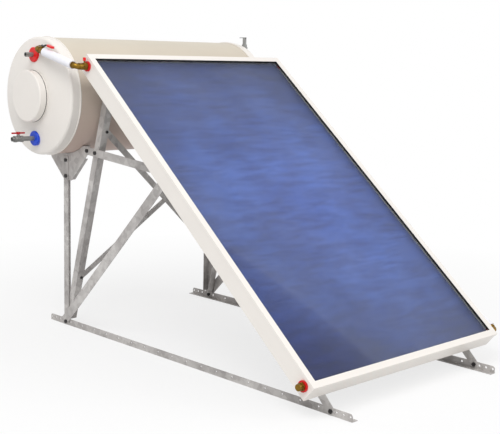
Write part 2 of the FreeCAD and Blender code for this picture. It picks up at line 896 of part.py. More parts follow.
def wing_handle():
    """A two-winged turn handle in line with the valve when open."""
    z0 = bonnet_height + handle_gap
    hub = rod(wing_hub_radius, V(0, 0, z0), V(0, 0, z0 + wing_thickness + 2 * wing_hub_step))
    bar = box(-wing_length / 2, wing_length / 2, -wing_width / 2, wing_width / 2,
              z0 + wing_hub_step, z0 + wing_hub_step + wing_thickness)
    corners = [edge for edge in bar.Edges if abs(edge.BoundBox.ZLength - wing_thickness) < 0.01]
    bar = bar.makeFillet(wing_width / 2 - 0.5, corners)
    pinch_y = wing_pinch_radius + wing_width / 2 - wing_pinch_depth
    pinch = [rod(wing_pinch_radius, V(0, side * pinch_y, z0), V(0, side * pinch_y, z0 + 2 * wing_thickness))
             for side in (-1, 1)]
    for cutter in pinch:
        bar = bar.cut(cutter)
    handle = fuse([bar, hub])
    return handle.cut(rod(stem_radius, V(0, 0, z0 - 1), V(0, 0, stem_height)))


def lever_arm():
    """A cranked flat lever that lies over the pipe when the valve is open."""
    z0 = bonnet_height + handle_gap
    half = lever_width / 2
    top = z0 + lever_rise
    flat = fuse([rod(half, V(0, 0, z0), V(0, 0, z0 + lever_thickness)),
                 box(0, lever_flat_end, -half, half, z0, z0 + lever_thickness)])
    foot = lever_flat_end - lever_lap
    outline = [V(foot, -half, z0), V(lever_ramp_end, -half, top),
               V(lever_ramp_end, -half, top + lever_thickness), V(foot, -half, z0 + lever_thickness)]
    ramp = prism(outline, lever_width, V(0, 1, 0))
    tail = box(lever_ramp_end, lever_ramp_end + lever_length, -half, half, top, top + lever_thickness)
    arm = fuse([flat, ramp, tail])
    return arm.cut(rod(stem_radius, V(0, 0, z0 - cut_over), V(0, 0, top)))


def lever_grip():
    """The dipped plastic sleeve on the lever's end."""
    z_mid = bonnet_height + handle_gap + lever_rise + lever_thickness / 2
    lever_end = lever_ramp_end + lever_length
    x0 = lever_end - grip_length + grip_overhang
    block = box(x0, x0 + grip_length, -grip_width / 2, grip_width / 2, z_mid - grip_thickness / 2,
                z_mid + grip_thickness / 2)
    upright = [edge for edge in block.Edges if abs(edge.BoundBox.ZLength - grip_thickness) < 0.01]
    block = block.makeFillet(grip_width / 2 - 1, upright)
    half = lever_width / 2
    slot = box(x0 - cut_over, lever_end, -half, half, z_mid - lever_thickness / 2, z_mid + lever_thickness / 2)
    return block.cut(slot)


flow_way = unit(flow_start, flow_end)
flow_up = V(0, flow_way.z, -flow_way.y).normalize()
flow_valve_centre = flow_start + flow_way * (elbow_leg + socket_slack + valve_length / 2)
cold_valve_centre = V(-face_x - cold_valve_offset, tank_axis.y, tank_axis.z - drain_port_drop)


def at_flow_valve(shape):
    return oriented(shape, flow_valve_centre, flow_way, flow_up)


def at_cold_valve(shape):
    moved = shape.copy()
    moved.translate(cold_valve_centre)
    return moved


def cold_tail():
    """The hose tail that the cold supply is joined to."""
    start = V(-valve_length / 2 + valve_socket - socket_slack, 0, 0)
    end = V(-valve_length / 2 - tail_length, 0, 0)
    tail = tube(nipple_radius, nipple_bore, start, end)
    return at_cold_valve(turned_end(tail, nipple_radius, end + V(tail_thread, 0, 0), end))


def flow_tail():
    """The short tube between the tank elbow and the valve on the flow pipe."""
    start = flow_start + flow_way * (socket_stop + socket_slack)
    end = flow_valve_centre - flow_way * (valve_length / 2 - valve_socket + socket_slack)
    return tube(pipe_radius, pipe_radius - pipe_wall, start, end)


vent_foot = V(-collector_width / 2 - vent_lead, flow_end.y, flow_end.z)


def vented_union():
    """The union at the collector's upper port, with the air vent's neck on top."""
    neck = rod(vent_neck_radius, vent_foot + V(0, 0, header_radius + 2), vent_foot + V(0, 0, vent_neck_height))
    return fuse([union_nut(flow_end, -1), neck])


def vent_knob():
    """The air vent's screw cap, with shallow grip flats."""
    base = vent_foot + V(0, 0, vent_rise)
    knob = rod(vent_radius, base, base + V(0, 0, vent_height))
    top = [edge for edge in knob.Edges if abs(edge.BoundBox.ZMin - base.z - vent_height) < 0.01]
    knob = knob.makeFillet(vent_round, top)
    for index in range(8):
        angle = math.radians(45 * index)
        groove = base + V(math.cos(angle), math.sin(angle), 0) * (vent_radius + 1)
        knob = knob.cut(rod(vent_groove, groove - V(0, 0, cut_over), groove + V(0, 0, vent_height - vent_plain_top)))
    top_of_neck = vent_foot + V(0, 0, vent_neck_height + socket_slack)
    return knob.cut(rod(vent_neck_radius + fit_clearance, base - V(0, 0, 1), top_of_neck))


def relief_valve_body():
    """A spring-loaded relief valve standing on the tank's right-hand upper connection."""
    corner = relief_corner
    up = V(0, 0, 1)
    spout_end = corner + V(0, relief_spout_reach, 0)
    stack = [rod(relief_radius, corner - up * relief_radius, corner + up * relief_barrel_height),
             hexagon(relief_hex, corner + up * relief_hex_rise, up * relief_hex_height),
             rod(relief_bonnet_radius, corner, corner + up * relief_height),
             rod(elbow_radius, corner, corner - V(elbow_leg, 0, 0)),
             rod(relief_spout_radius, corner, spout_end)]
    body = fuse(stack)
    inward = V(-1, 0, 0)
    body = body.cut(rod(nipple_radius + fit_clearance, corner + inward * socket_stop,
                        corner + inward * (elbow_leg + cut_over)))
    body = body.cut(rod(relief_bore, corner, corner + inward * elbow_leg))
    body = body.cut(rod(relief_spout_bore, corner, spout_end + V(0, cut_over, 0)))
    body = turned_end(body, relief_spout_radius, spout_end - V(0, relief_spout_thread, 0), spout_end)
    slot = box(-relief_slot / 2, relief_slot / 2, -relief_radius, relief_radius,
               relief_height - relief_slot_depth, relief_height + cut_over)
    slot.translate(corner)
    start, end = relief_pin_line()
    return body.cut(slot).cut(rod(relief_pin_radius + fit_clearance, start, end))


def relief_pin_line():
    middle = relief_corner + V(0, 0, relief_height - relief_pin_drop)
    half = V(relief_pin_length / 2, 0, 0)
    return middle - half, middle + half


def relief_pin():
    start, end = relief_pin_line()
    return rod(relief_pin_radius, start, end)


def relief_lever():
    """A flat test lever that turns on the pin in the bonnet's slot."""
    middle = relief_corner + V(0, 0, relief_height - relief_pin_drop)
    low = relief_eye_radius - relief_lever_sheet
    half_eye = V(relief_lever_width / 2, 0, 0)
    eye = rod(relief_eye_radius, middle - half_eye, middle + half_eye)
    arm = box(-relief_lever_width / 2, relief_lever_width / 2, -relief_eye_radius / 2, relief_lever_reach,
              low, relief_eye_radius)
    pad = box(-relief_pad_width / 2, relief_pad_width / 2, relief_lever_reach - relief_pad_length,
              relief_lever_reach, low, relief_eye_radius)
    for plate in (arm, pad):
        plate.translate(middle)
    start, end = relief_pin_line()
    return fuse([eye, arm, pad]).cut(rod(relief_pin_radius + fit_clearance, start, end))


# ---------------------------------------------------------------- stand

def layer_x(layer):
    """Outer face of a sheet layer of the left side frame; layer 0 holds the rail's web."""
    return -(frame_half_width + layer * sheet)


def crossing(a, a_way, b, b_way):
    """Where two side-view lines meet."""
    det = a_way.y * -b_way.z + b_way.y * a_way.z
    gap = b - a
    t = (gap.y * -b_way.z + b_way.y * gap.z) / det
    return a + a_way * t


support_line = collector_depth + angle_leg / 2
strut_node = on_slope(strut_node_run, support_line)
chord_angle = math.radians(chord_bolt_angle)
chord_bolt = tank_axis + V(0, -math.sin(chord_angle), -math.cos(chord_angle)) * (tank_radius + chord_bolt_gap)
chord_way = (chord_bolt - strut_node).normalize()
leaning_top_bolt = on_slope(leaning_top_run, support_line)
leaning_way = (leaning_top_bolt - rear_node).normalize()
leaning_tilt = math.degrees(math.atan2(-leaning_way.y, leaning_way.z))
leaning_chord_bolt = crossing(rear_node, leaning_way, strut_node, chord_way)
leg_bolt_high = V(0, rear_node.y, tank_axis.z - tank_radius - saddle_leg_bolt_gap)
leg_bolt_low = leg_bolt_high - V(0, 0, saddle_leg_bolt_pitch)
foot_bolt_rail = V(0, low_y + foot_bolt_lead, node_height)
foot_bolt_support = on_slope(collector_length - foot_bracket_run, support_line)

# (place, outermost layer, innermost layer) of every bolt in a side frame
side_bolts = [
    (rear_node, 2, -1),
    (leg_bolt_high, 1, 0),
    (leg_bolt_low, 1, 0),
    (chord_bolt, 1, 0),
    (leaning_chord_bolt, 1, -1),
    (strut_node, 2, 0),
    (leaning_top_bolt, 0, -1),
    (foot_bolt_rail, 1, 0),
    (foot_bolt_support, 1, 0),
]


def drilled(shape, layer):
    """Cut the bolt holes that pass through a layer."""
    for place, outer, inner in side_bolts:
        if inner <= layer <= outer:
            start = V(layer_x(layer) - 0.5, place.y, place.z)
            shape = shape.cut(rod(bolt_radius + hole_clearance, start, start + V(sheet + 1, 0, 0)))
    return shape


def member(foot, head, layer, web, edge, flange_from, flange_to, offset=0.0):
    """An angle bar from bolt to bolt; its web lies in a layer and its flange points inward.

    edge picks the web's edge that carries the flange; flange_from and flange_to are the
    lengths that the flange is cut short of the two bolts.
    """
    run = head - foot
    outer = layer_x(layer)
    half = web / 2
    plate = box(outer, outer + sheet, offset - half, offset + half, -end_margin, run.Length + end_margin)
    rim = offset + edge * half
    low, high = sorted((rim, rim - edge * sheet))
    flange = box(outer, outer + angle_leg, low, high, flange_from, run.Length - flange_to)
    bar = fuse([plate, flange])
    bar.rotate(V(0, 0, 0), V(1, 0, 0), math.degrees(math.atan2(-run.y, run.z)))
    bar.translate(V(0, foot.y, foot.z))
    return drilled(bar, layer)


def trimmed(bar):
    """Cut a member off just above the rail's flange and just below the support's flange."""
    below = box(-2 * frame_half_width, 0, -rail_length, rail_length, -rail_length, sheet + seat_clearance)
    above = flat_box(2 * frame_half_width, -collector_length, 2 * collector_length,
                     -collector_length, collector_depth + sheet + seat_clearance)
    return bar.cut(below).cut(to_slope(above))


def rear_leg():
    return trimmed(member(rear_node, leg_bolt_high, 1, angle_leg, 1, 24, saddle_leg_bolt_pitch + 24))


def leaning_leg():
    leg = trimmed(member(rear_node, leaning_top_bolt, -1, angle_leg, -1, 22, 40))
    return leg.cut(fuse(brace_bolt_rods(small_bolt_radius + hole_clearance)))


def top_chord():
    past_leg = (chord_bolt - leaning_chord_bolt).Length + angle_leg
    return trimmed(member(strut_node, chord_bolt, 1, angle_leg, 1, 62, past_leg))


def diagonal_strut():
    return trimmed(member(rear_node, strut_node, 2, strut_web, 1, 190, 80, strut_offset))


def collector_support():
    foot = on_slope(collector_length - support_foot_run - end_margin, support_line)
    head = on_slope(support_top_run + end_margin, support_line)
    bar = member(foot, head, 0, angle_leg, -1, -end_margin, -end_margin)
    holes = [to_slope(hole) for hole in support_screw_holes(small_bolt_radius + hole_clearance)]
    return bar.cut(fuse(holes))


def support_screw_places():
    """Flat-frame places of the screws that hold the casing's lip to the left support."""
    x = -frame_half_width + angle_leg / 2
    return [V(x, -run, 0) for run in (support_top_run + 1, collector_length - support_foot_run - 1)]


def support_screw_holes(radius):
    holes = []
    for place in support_screw_places():
        for side in (-1, 1):
            top = V(side * abs(place.x), place.y, -(collector_depth - 8))
            holes.append(rod(radius, top, top - V(0, 0, 8 + sheet + 4)))
    return holes


def base_rail():
    half = rail_length / 2
    outer = layer_x(0)
    web = box(outer, outer + sheet, -half, half, 0, rail_height)
    corners = [edge for edge in web.Edges
               if abs(edge.BoundBox.XLength - sheet) < 0.01 and abs(edge.BoundBox.ZMin - rail_height) < 0.01]
    web = web.makeFillet(rail_corner, corners)
    flange = box(outer, outer + rail_flange, -half, half, 0, sheet)
    rail = fuse([web, flange])
    for y in rail_hole_places():
        start = V(outer - 1, y, node_height)
        rail = rail.cut(rod(rail_hole_radius, start, start + V(sheet + 2, 0, 0)))
    for side in (-1, 1):
        start = V(anchor_x(), side * anchor_y(), -1)
        rail = rail.cut(rod(anchor_hole_radius, start, start + V(0, 0, sheet + 2)))
    return drilled(rail, 0)


def anchor_x():
    return -(frame_half_width - rail_flange / 2)


def anchor_y():
    return rail_length / 2 - anchor_inset


def rail_hole_places():
    """A close row at each end and an even row between, clear of the bolted nodes."""
    half = rail_length / 2
    places = []
    for side in (-1, 1):
        for index in range(rail_end_holes):
            places.append(side * (half - 2 * rail_hole_radius - index * rail_end_pitch))
        y = rail_hole_pitch / 2
        while y < half - anchor_inset - rail_hole_pitch / 2:
            places.append(side * y)
            y += rail_hole_pitch
    nodes = (rear_node.y, foot_bolt_rail.y)
    return [y for y in places if all(abs(y - node) > 3 * bolt_radius for node in nodes)]


def foot_bracket():
    """The short plate that ties the collector support to the front of the rail."""
    run = foot_bolt_support - foot_bolt_rail
    outer = layer_x(1)
    half = angle_leg / 2
    plate = box(outer, outer + sheet, -half, half, -14, run.Length + 14)
    plate.rotate(V(0, 0, 0), V(1, 0, 0), math.degrees(math.atan2(-run.y, run.z)))
    plate.translate(foot_bolt_rail)
    below = box(-2 * frame_half_width, 0, -rail_length, rail_length, -rail_length, seat_clearance)
    return drilled(plate.cut(below), 1)


def tank_point(radius, degrees_forward):
    """A side-view point round the tank, measured from straight down towards the front."""
    angle = math.radians(degrees_forward)
    return tank_axis + V(0, -math.sin(angle), -math.cos(angle)) * radius


def saddle_bolt_rods(radius):
    """Radial rods through the saddle pads and the jacket, about the tank axis, both sides."""
    rods = []
    x = frame_half_width - saddle_pad_width / 2
    for side in (-1, 1):
        for degrees in (saddle_screw_inset - saddle_rear_angle, saddle_front_angle - saddle_screw_inset):
            angle = math.radians(degrees)
            way = V(0, -math.sin(angle), -math.cos(angle))
            start = V(side * x, 0, 0) + way * (tank_radius - 14)
            rods.append(rod(radius, start, start + way * (14 + seat_clearance + sheet + cut_over)))
    return rods


def tank_saddle():
    """A gusset with a curved pad under the tank and a folded front edge."""
    seat = tank_radius + seat_clearance
    outer = layer_x(0)
    half = angle_leg / 2
    up = V(0, -chord_way.z, chord_way.y)
    ear_top = leaning_chord_bolt - chord_way * half + up * half
    ear_low = leaning_chord_bolt - chord_way * half - up * half
    knee = chord_bolt - up * half
    arc_front = tank_point(seat, saddle_front_angle)
    arc_mid = tank_point(seat, (saddle_front_angle - saddle_rear_angle) / 2)
    arc_rear = tank_point(seat, -saddle_rear_angle)
    heel = V(0, arc_rear.y, leg_bolt_high.z + 8)
    low = leg_bolt_low.z - half
    tip_rear = V(0, rear_node.y + half, low)
    tip_front = V(0, rear_node.y - 2.3 * half, low)
    lines = [Part.makeLine(ear_top, arc_front), Part.Arc(arc_front, arc_mid, arc_rear).toShape(),
             Part.makeLine(arc_rear, heel), Part.makeLine(heel, tip_rear), Part.makeLine(tip_rear, tip_front),
             Part.makeLine(tip_front, knee), Part.makeLine(knee, ear_low), Part.makeLine(ear_low, ear_top)]
    plate = Part.Face(Part.Wire(lines)).extrude(V(sheet, 0, 0))
    edge_way = (knee - tip_front).normalize()
    normal = V(0, edge_way.z, -edge_way.y)
    if normal.dot(tank_axis - knee) < 0:
        normal = normal * -1
    fold_start = tip_front + edge_way * 6
    fold_end = knee - edge_way * 34
    fold = prism([fold_start, fold_end, fold_end + normal * sheet, fold_start + normal * sheet],
                 saddle_return, V(1, 0, 0))
    pad = tube(seat + sheet, seat, V(0, 0, 0), V(saddle_pad_width, 0, 0))
    wedge = prism([V(0, 0, 0), pad_corner(saddle_front_angle), pad_corner(0), pad_corner(-saddle_rear_angle)],
                  saddle_pad_width, V(1, 0, 0))
    pad = pad.common(wedge)
    pad.translate(tank_axis)
    saddle = fuse([plate, fold, pad])
    saddle.translate(V(outer, 0, 0))
    for cutter in saddle_bolt_rods(small_bolt_radius + hole_clearance):
        cutter.translate(tank_axis)
        saddle = saddle.cut(cutter)
    return drilled(saddle, 0)


def pad_corner(degrees):
    angle = math.radians(degrees)
    return V(0, -math.sin(angle), -math.cos(angle)) * (2 * tank_radius)


def saddle_bolts():
    """The screws that hold the tank's jacket down on its four pad holes."""
    bolts = []
    x = frame_half_width - saddle_pad_width / 2
    for side in (-1, 1):
        for degrees in (saddle_screw_inset - saddle_rear_angle, saddle_front_angle - saddle_screw_inset):
            angle = math.radians(degrees)
            way = V(0, -math.sin(angle), -math.cos(angle))
            centre = tank_axis + V(side * x, 0, 0)
            seat = tank_radius + seat_clearance + sheet + lay_clearance
            shank = rod(small_bolt_radius, centre + way * (tank_radius - saddle_screw_bite), centre + way * seat)
            head = hexagon(small_bolt_hex, centre + way * seat, way * small_bolt_head)
            bolts.append(fuse([shank, head]))
    return bolts


def leg_frame(shape):
    """From the leaning leg's own frame (up its length, flange to the front) to its place."""
    moved = shape.copy()
    moved.rotate(V(0, 0, 0), V(1, 0, 0), leaning_tilt)
    moved.translate(rear_node)
    return moved


brace_x = frame_half_width - brace_bolt_inset


def brace(front):
    """A flat bar across the stand, on the front or the back of the leaning legs' flanges."""
    face = -angle_leg / 2
    y0 = face - sheet if front else face + sheet
    ends = (brace_top_run, brace_low_run) if front else (brace_low_run, brace_top_run)
    start = V(-brace_x, y0, ends[0])
    end = V(brace_x, y0, ends[1])
    run = end - start
    bar = box(-brace_margin, run.Length + brace_margin, 0, sheet, -brace_width / 2, brace_width / 2)
    bar.rotate(V(0, 0, 0), V(0, 1, 0), math.degrees(math.atan2(-run.z, run.x)))
    bar.translate(start)
    for point in (start, end):
        bar = bar.cut(rod(small_bolt_radius + hole_clearance, point - V(0, 5, 0), point + V(0, 5 + sheet, 0)))
    return leg_frame(bar)


def brace_bolt_rods(radius):
    """Holes through the left leg's flange for both braces."""
    rods = []
    for run in (brace_top_run, brace_low_run):
        point = V(-brace_x, -angle_leg / 2, run)
        rods.append(leg_frame(rod(radius, point - V(0, 6, 0), point + V(0, 12, 0))))
    return rods


def brace_fasteners():
    """Bolts and nuts at the four brace ends; a left end sits on the front at the top only."""
    bolts, nuts = [], []
    face = -angle_leg / 2
    for side in (-1, 1):
        for run in (brace_top_run, brace_low_run):
            front_bar = (run == brace_top_run) == (side < 0)
            outer = face - sheet if front_bar else face
            inner = face + sheet if front_bar else face + 2 * sheet
            place = V(side * brace_x, 0, run)
            shank = rod(small_bolt_radius, place + V(0, outer, 0), place + V(0, inner + 9, 0))
            head = hexagon(small_bolt_hex, place + V(0, outer, 0), V(0, -small_bolt_head, 0))
            nut = hexagon(small_bolt_hex, place + V(0, inner, 0), V(0, small_nut_height, 0))
            nut = nut.cut(rod(small_bolt_radius + fit_clearance, place + V(0, inner - 1, 0),
                              place + V(0, inner + 9, 0)))
            bolts.append(leg_frame(fuse([shank, head])))
            nuts.append(leg_frame(nut))
    return bolts, nuts


def frame_bolt(place, outer, inner):
    start = V(layer_x(outer), place.y, place.z)
    end = V(layer_x(inner) + sheet, place.y, place.z)
    shank = rod(bolt_radius, start, end + V(bolt_tail, 0, 0))
    return fuse([shank, hexagon(bolt_hex, start, V(-bolt_head, 0, 0))])


def frame_nut(place, inner):
    start = V(layer_x(inner) + sheet, place.y, place.z)
    nut = hexagon(bolt_hex, start, V(nut_height, 0, 0))
    return nut.cut(rod(bolt_radius + fit_clearance, start - V(1, 0, 0), start + V(bolt_tail, 0, 0)))


def cross_bar():
    """An angle across the stand under the collector's low edge, on the supports' flanges."""
    half = frame_half_width - sheet - seat_clearance
    top = collector_depth + sheet
    low_run = collector_length - support_foot_run - cross_bar_edge
    flat = box(-half, half, -low_run, -low_run + cross_bar_leg, -top - sheet, -top)
    web = box(-half, half, -low_run, -low_run + sheet, -top - cross_bar_leg, -top)
    return to_slope(fuse([flat, web]))


def support_screws():
    """Screws up through the supports' flanges into the casing."""
    screws = []
    for place in support_screw_places():
        for side in (-1, 1):
            seat = V(side * abs(place.x), place.y, -(collector_depth + sheet))
            shank = rod(small_bolt_radius, seat, seat + V(0, 0, sheet + casing_wall))
            head = hexagon(small_bolt_hex, seat, V(0, 0, -small_bolt_head))
            screws.append(to_slope(fuse([shank, head])))
    return screws


def flange_bolts():
    bolts = []
    for place in flange_bolt_places(0):
        start = V(-flange_x - flange_thickness - fit_clearance, place.y, place.z)
        bolts.append(at_tank(hexagon(8, start, V(-5, 0, 0))))
    return bolts


def main():
    os.makedirs("parts", exist_ok=True)
    for name, shape in casing_parts().items():
        save(name, shape)
    save("glazing_frame", glazing_frame())
    save("glass_pane", glass_pane())
    save("glass_seal", glass_seal())
    save("absorber_plate", absorber_plate())
    save("header_tubes", header_tubes())
    save("riser_tubes", riser_tubes())
    save("insulation_slab", insulation_slab())
    save("back_panel", back_panel())
    save("port_grommets", port_grommets())
    save("header_plugs", header_plugs())

    save("end_cap_left", finished_cap(-1))
    save("end_cap_right", finished_cap(1))
    save("tank_jacket", tank_jacket())
    save("inner_vessel", inner_vessel())
    save("exchanger_jacket", exchanger_jacket())
    save("foam_insulation", foam_insulation())
    save("tank_nipples", tank_nipples())
    save("hot_escutcheon", escutcheon(water_port_rise))
    save("cold_escutcheon", escutcheon(-drain_port_drop))
    save("element_cover", element_cover())
    save("element_flange", [element_flange()] + flange_bolts())
    save("heating_element", heating_element())
    save("thermostat", [thermostat(), thermostat_pocket()])
    save("anode_rod", anode())

    save("cold_valve_body", at_cold_valve(valve_body(nipple_radius + fit_clearance)))
    save("cold_valve_ball", [at_cold_valve(valve_ball()), at_cold_valve(valve_stem())])
    save("cold_valve_handle", at_cold_valve(wing_handle()))
    save("cold_inlet_tail", cold_tail())
    save("flow_valve_body", at_flow_valve(valve_body(pipe_radius + fit_clearance)))
    save("flow_valve_ball", [at_flow_valve(valve_ball()), at_flow_valve(valve_stem())])
    save("flow_valve_lever", at_flow_valve(lever_arm()))
    save("flow_lever_grip", at_flow_valve(lever_grip()))

    return_way = unit(return_start, return_end)
    save("pipe_fittings", [tank_elbow(flow_start, flow_way), elbow(flow_end, V(1, 0, 0), flow_way * -1),
                           tank_elbow(return_start, return_way), elbow(return_end, V(-1, 0, 0), return_way * -1),
                           vented_union(), union_nut(return_end, 1)])
    valve_end = elbow_leg + socket_slack + valve_length
    flow_gap = valve_end - valve_socket + socket_slack
    return_gap = socket_stop + socket_slack
    save("loop_pipes", [flow_tail(), pipe_run(flow_start, flow_end, flow_gap), spigot(flow_end, -1),
                        pipe_run(return_start, return_end, return_gap), spigot(return_end, 1)])
    save("flow_lagging", lagging(flow_start, flow_end, valve_end + lagging_gap))
    save("return_lagging", lagging(return_start, return_end, elbow_leg + lagging_gap))
    save("air_vent_knob", vent_knob())
    save("relief_valve_body", [relief_valve_body(), relief_pin()])
    save("relief_valve_lever", relief_lever())

    sides = {"base_rail": base_rail(), "leaning_leg": leaning_leg(), "diagonal_strut": diagonal_strut(),
             "tank_saddle": tank_saddle()}
    for name, shape in sides.items():
        save(name + "_left", shape)
        save(name + "_right", mirrored(shape))
    save("rear_legs", both_sides([rear_leg()]))
    save("top_chords", both_sides([top_chord()]))
    save("collector_supports", both_sides([collector_support()]))
    save("foot_brackets", both_sides([foot_bracket()]))
    save("cross_braces", [brace(True), brace(False)])
    save("front_cross_bar", cross_bar())
    brace_bolts, brace_nuts = brace_fasteners()
    bolts = both_sides([frame_bolt(*bolt) for bolt in side_bolts])
    nuts = both_sides([frame_nut(place, inner) for place, _, inner in side_bolts])
    save("frame_bolts", bolts + brace_bolts + saddle_bolts() + support_screws())
    save("frame_nuts", nuts + brace_nuts)


main()
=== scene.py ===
import json
import math

import bpy
from mathutils import Matrix, Vector


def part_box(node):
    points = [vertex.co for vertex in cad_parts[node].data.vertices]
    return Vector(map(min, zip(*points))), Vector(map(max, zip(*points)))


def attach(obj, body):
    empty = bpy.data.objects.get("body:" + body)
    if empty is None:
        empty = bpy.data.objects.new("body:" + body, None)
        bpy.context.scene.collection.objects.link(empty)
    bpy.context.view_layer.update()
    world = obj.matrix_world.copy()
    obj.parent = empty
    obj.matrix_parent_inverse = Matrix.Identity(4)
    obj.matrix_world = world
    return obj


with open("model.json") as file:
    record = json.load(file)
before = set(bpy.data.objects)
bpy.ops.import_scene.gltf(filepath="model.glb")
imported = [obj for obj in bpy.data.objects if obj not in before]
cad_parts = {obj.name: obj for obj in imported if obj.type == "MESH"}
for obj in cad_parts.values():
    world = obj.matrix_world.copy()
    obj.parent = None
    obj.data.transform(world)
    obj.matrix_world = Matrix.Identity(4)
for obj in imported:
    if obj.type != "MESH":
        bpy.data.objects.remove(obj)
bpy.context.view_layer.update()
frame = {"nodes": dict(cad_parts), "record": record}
nodes = frame["nodes"]

scene = bpy.context.scene
scene.view_settings.view_transform = "Standard"


# Materials

def new_material(name):
    material = bpy.data.materials.new(name)
    material.use_nodes = True
    tree = material.node_tree
    shader = tree.nodes["Principled BSDF"]
    return material, tree, shader


def noise(tree, scale, detail=4.0, roughness=0.55, stretch=(1.0, 1.0, 1.0)):
    """A noise value in object space."""
    place = tree.nodes.new("ShaderNodeTexCoord")
    mapping = tree.nodes.new("ShaderNodeMapping")
    mapping.inputs["Scale"].default_value = stretch
    texture = tree.nodes.new("ShaderNodeTexNoise")
    texture.inputs["Scale"].default_value = scale
    texture.inputs["Detail"].default_value = detail
    texture.inputs["Roughness"].default_value = roughness
    tree.links.new(place.outputs["Object"], mapping.inputs["Vector"])
    tree.links.new(mapping.outputs["Vector"], texture.inputs["Vector"])
    return texture.outputs["Fac"]


def ramp(tree, value, stops):
    node = tree.nodes.new("ShaderNodeValToRGB")
    elements = node.color_ramp.elements
    while len(elements) < len(stops):
        elements.new(0.5)
    for element, (place, colour) in zip(elements, stops):
        element.position = place
        element.color = (*colour, 1.0)
    tree.links.new(value, node.inputs["Fac"])
    return node.outputs["Color"]


def mix(tree, factor, a, b, blend="MIX"):
    node = tree.nodes.new("ShaderNodeMix")
    node.data_type = "RGBA"
    node.blend_type = blend
    for socket, value in ((node.inputs["Factor"], factor), (node.inputs[6], a), (node.inputs[7], b)):
        if isinstance(value, bpy.types.NodeSocket):
            tree.links.new(value, socket)
        elif isinstance(value, (int, float)):
            socket.default_value = value
        else:
            socket.default_value = (*value, 1.0)
    return node.outputs[2]


def bump(tree, shader, height, strength, distance=0.001):
    node = tree.nodes.new("ShaderNodeBump")
    node.inputs["Strength"].default_value = strength
    node.inputs["Distance"].default_value = distance
    tree.links.new(height, node.inputs["Height"])
    tree.links.new(node.outputs["Normal"], shader.inputs["Normal"])


def srgb(*values):
    return tuple(((v / 255 + 0.055) / 1.055) ** 2.4 if v > 10.3 else v / 255 / 12.92 for v in values)


def shade(colour, factor):
    return tuple(min(1.0, c * factor) for c in colour)


def speckled(name, colour, spread=0.06, scale=9.0, roughness=0.5, metallic=0.0, fine=220.0, relief=0.15, coat=0.0):
    """A painted, moulded or plated surface with soft cloudy variation and a fine grain."""
    material, tree, shader = new_material(name)
    cloud = ramp(tree, noise(tree, scale), [(0.3, shade(colour, 1 - spread)), (0.7, shade(colour, 1 + spread))])
    tree.links.new(cloud, shader.inputs["Base Color"])
    shader.inputs["Roughness"].default_value = roughness
    shader.inputs["Metallic"].default_value = metallic
    shader.inputs["Coat Weight"].default_value = coat
    bump(tree, shader, noise(tree, fine, 2.0), relief, 0.0004)
    return material


def galvanised():
    """Zinc-dipped steel: crystalline patches, dull streaks and a soft sheen."""
    material, tree, shader = new_material("galvanised_steel")
    place = tree.nodes.new("ShaderNodeTexCoord")
    cells = tree.nodes.new("ShaderNodeTexVoronoi")
    cells.inputs["Scale"].default_value = 38.0
    tree.links.new(place.outputs["Object"], cells.inputs["Vector"])
    grey = tree.nodes.new("ShaderNodeRGBToBW")
    tree.links.new(cells.outputs["Color"], grey.inputs["Color"])
    spangle = ramp(tree, grey.outputs["Val"], [(0.2, srgb(166, 162, 160)), (0.8, srgb(204, 201, 198))])
    cloud = ramp(tree, noise(tree, 6.0, 6.0), [(0.35, srgb(150, 145, 143)), (0.65, srgb(216, 213, 210))])
    colour = mix(tree, 0.5, spangle, cloud)
    dirt = ramp(tree, noise(tree, 14.0, 8.0, 0.7), [(0.28, (0.50, 0.48, 0.46)), (0.40, (1.0, 1.0, 1.0))])
    tree.links.new(mix(tree, 0.5, colour, dirt, "MULTIPLY"), shader.inputs["Base Color"])
    shader.inputs["Metallic"].default_value = 0.2
    shader.inputs["Roughness"].default_value = 0.5
    bump(tree, shader, noise(tree, 90.0, 4.0), 0.2, 0.0005)
    return material


def height_blend(tree, low, high, low_z, high_z):
    """A colour that changes with height in the object's own frame."""
    place = tree.nodes.new("ShaderNodeTexCoord")
    split = tree.nodes.new("ShaderNodeSeparateXYZ")
    tree.links.new(place.outputs["Object"], split.inputs["Vector"])
    scale = tree.nodes.new("ShaderNodeMapRange")
    scale.inputs["From Min"].default_value = low_z
    scale.inputs["From Max"].default_value = high_z
    tree.links.new(split.outputs["Z"], scale.inputs["Value"])
    return mix(tree, scale.outputs["Result"], low, high)


